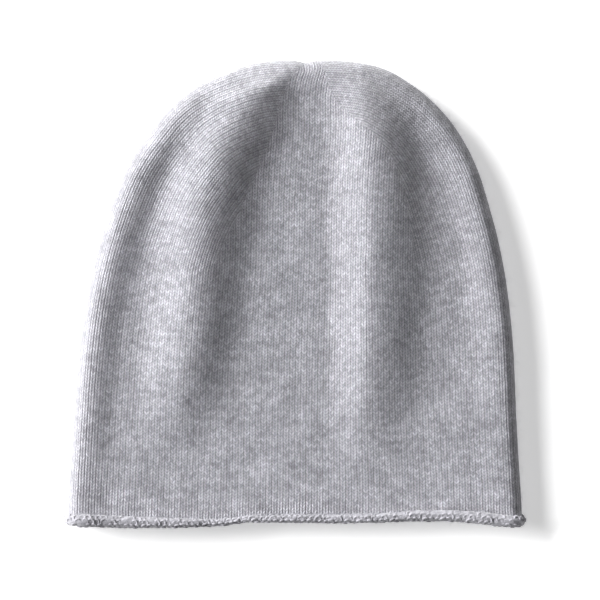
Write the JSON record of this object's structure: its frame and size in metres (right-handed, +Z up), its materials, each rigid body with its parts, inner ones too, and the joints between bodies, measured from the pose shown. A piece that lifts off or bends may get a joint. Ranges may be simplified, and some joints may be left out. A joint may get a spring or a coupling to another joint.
{
  "type": "slouchy beanie",
  "caption": "Plain slouchy knitted cap lying flat on its back wall: open hollow body with a gored, gathered crown, two soft folds down its front, and a rolled hem round its mouth.",
  "frame": {"origin": "on the table, under the middle of the box round the whole cap as it lies on its back wall", "axes": "+Z up out of the table, +Y from the mouth to the gathered tip, +X to the right of someone who looks down on the front wall"},
  "size_m": [0.234, 0.2372, 0.0228],
  "materials": {
    "knit": "fine heather-grey stockinette with a soft fuzz",
    "hem_knit": "the reverse side of the same knit, bumpy and fuzzy"
  },
  "bodies": {
    "root": {"knit_body": "knit", "rolled_hem": "hem_knit"}
  },
  "joints": []
}
